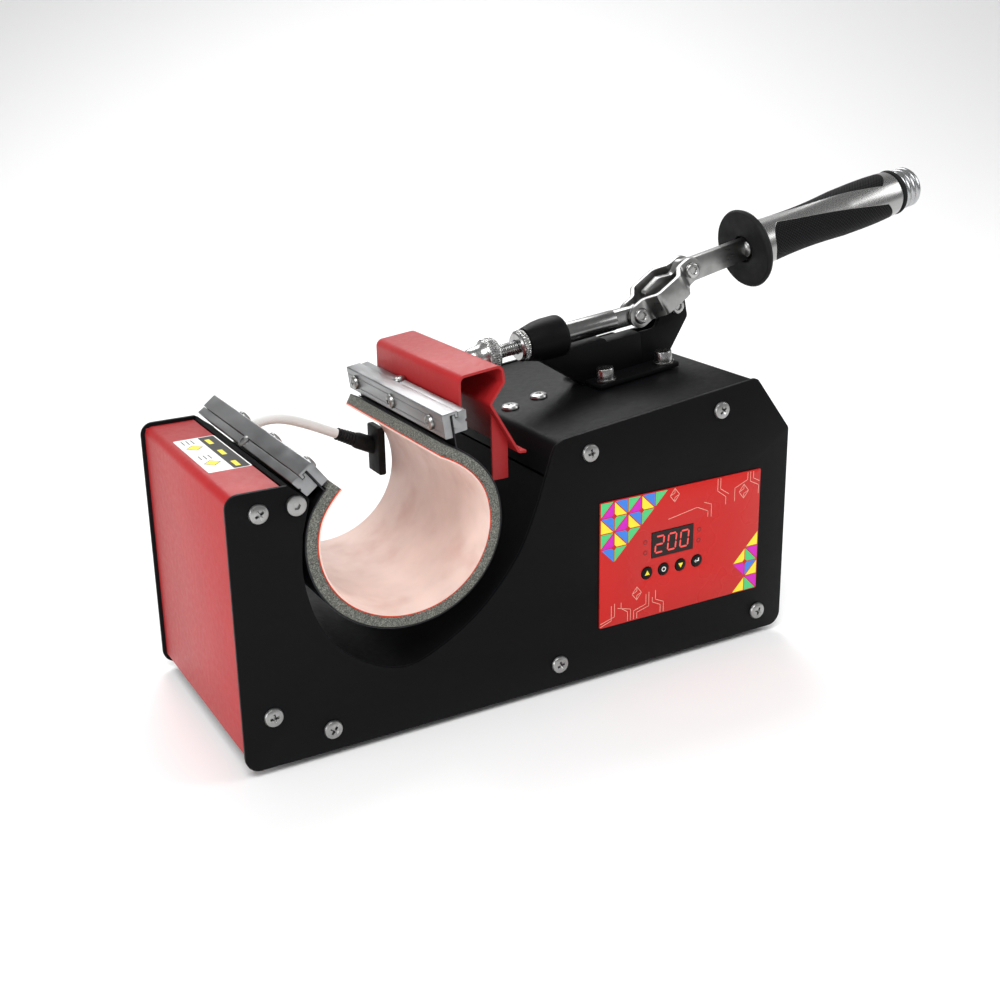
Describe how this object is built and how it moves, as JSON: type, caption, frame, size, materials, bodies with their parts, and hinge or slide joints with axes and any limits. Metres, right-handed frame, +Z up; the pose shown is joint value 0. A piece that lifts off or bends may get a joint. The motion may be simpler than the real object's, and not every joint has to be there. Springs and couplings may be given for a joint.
{
  "type": "mug heat press",
  "caption": "Heat press for mugs: a steel housing with a controller, and a C-shaped heater that a push-pull toggle clamp with a long handle draws round the mug.",
  "frame": {"origin": "middle of the object's box, on the surface that its feet stand on", "axes": "+X along the housing towards the handle's end, +Y from the control panel to the back, +Z up"},
  "size_m": [0.4972, 0.1442, 0.258],
  "materials": {
    "black_steel": "black powder coat",
    "red_steel": "satin red powder coat",
    "zinc_steel": "zinc-plated steel",
    "aluminium": "matt extruded aluminium",
    "rubber": "black rubber",
    "grip": "ribbed black rubber on a metal tube",
    "foam": "grey silicone foam",
    "heater_mat": "pale pink silicone",
    "band": "dark spring steel",
    "panel": "printed red film",
    "black_plastic": "black moulded plastic",
    "circuit_board": "green circuit board",
    "lead": "white woven sleeve"
  },
  "bodies": {
    "housing": {"front_plate": "black_steel", "back_plate": "black_steel", "top_cover": "black_steel", "well_panel": "black_steel", "base_panel": "black_steel", "rail_support": "black_steel", "clamp_body": "black_steel", "end_cover": "red_steel", "left_bar_screw_1": "zinc_steel", "left_bar_screw_2": "zinc_steel", "left_bar_screw_3": "zinc_steel", "clamp_bolt_1": "zinc_steel", "clamp_bolt_2": "zinc_steel", "clamp_bolt_3": "zinc_steel", "clamp_bolt_4": "zinc_steel", "handle_pin": "zinc_steel", "left_rail": "aluminium", "left_clamp_bar": "aluminium", "foot_1": "rubber", "foot_2": "rubber", "foot_3": "rubber", "foot_4": "rubber", "lead_gland": "rubber", "heater_foam_left": "foam", "heater_mat_left": "heater_mat", "heater_band_left": "band", "control_panel": "panel", "display_window": "black_plastic", "solid_state_relay": "black_plastic", "power_inlet": "black_plastic", "switch_frame": "black_plastic", "fuse_holder": "black_plastic", "controller_board": "circuit_board", "heater_lead": "lead"},
    "carriage": {"right_rail": "aluminium", "right_clamp_bar": "aluminium", "right_bar_screw_1": "zinc_steel", "right_bar_screw_2": "zinc_steel", "right_bar_screw_3": "zinc_steel", "push_bracket": "red_steel", "cable_boot": "rubber", "plunger_rod": "zinc_steel", "jam_nut": "zinc_steel", "heater_mat_right": "heater_mat", "heater_foam_right": "foam", "heater_band_right": "band"},
    "adjuster": {"adjuster": "zinc_steel"},
    "handle": {"handle_plate": "zinc_steel", "grip_flange": "rubber", "grip_sleeve": "grip", "grip_ring": "rubber", "grip_cap": "aluminium"},
    "links": {"link_near": "zinc_steel", "link_far": "zinc_steel", "link_pin": "zinc_steel"},
    "button_up": {"button_up": "black_plastic"},
    "button_ok": {"button_ok": "black_plastic"},
    "button_down": {"button_down": "black_plastic"},
    "button_enter": {"button_enter": "black_plastic"},
    "rocker": {"rocker": "black_plastic"}
  },
  "joints": [
    {"name": "handle_swing", "type": "hinge", "parent": "housing", "child": "handle", "pos_m": [0.05809, 0.00065, 0.19224], "axis": [0, -1, 0], "range_deg": [0, 123.55]},
    {"name": "plunger_slide", "type": "slide", "parent": "housing", "child": "carriage", "axis": [-0.9939, 0, -0.1105], "range_m": [0, 0.03985], "deforming": ["heater_lead"]},
    {"name": "link_swing", "type": "hinge", "parent": "handle", "child": "links", "pos_m": [0.06851, 0.00065, 0.21251], "axis": [0, -1, 0], "range_deg": [-149.94, 0]},
    {"name": "adjuster_turn", "type": "hinge", "parent": "carriage", "child": "adjuster", "pos_m": [-0.07082, 0.00065, 0.1779], "axis": [0.9939, 0, 0.1105], "continuous": true},
    {"name": "button_up_press", "type": "slide", "parent": "housing", "child": "button_up", "axis": [0, 1, 0], "range_m": [0, 0.0006], "stiffness_N_per_m": 400},
    {"name": "button_ok_press", "type": "slide", "parent": "housing", "child": "button_ok", "axis": [0, 1, 0], "range_m": [0, 0.0006], "stiffness_N_per_m": 400},
    {"name": "button_down_press", "type": "slide", "parent": "housing", "child": "button_down", "axis": [0, 1, 0], "range_m": [0, 0.0006], "stiffness_N_per_m": 400},
    {"name": "button_enter_press", "type": "slide", "parent": "housing", "child": "button_enter", "axis": [0, 1, 0], "range_m": [0, 0.0006], "stiffness_N_per_m": 400},
    {"name": "rocker_tilt", "type": "hinge", "parent": "housing", "child": "rocker", "pos_m": [0.09162, 0.02615, 0.0485], "axis": [0, 1, 0], "range_deg": [-18, 0]}
  ],
  "couplings": [
    {"joint": "plunger_slide", "follows": "handle_swing", "m_per_rad": 0.018481},
    {"joint": "link_swing", "follows": "handle_swing", "ratio": -1.2136}
  ]
}
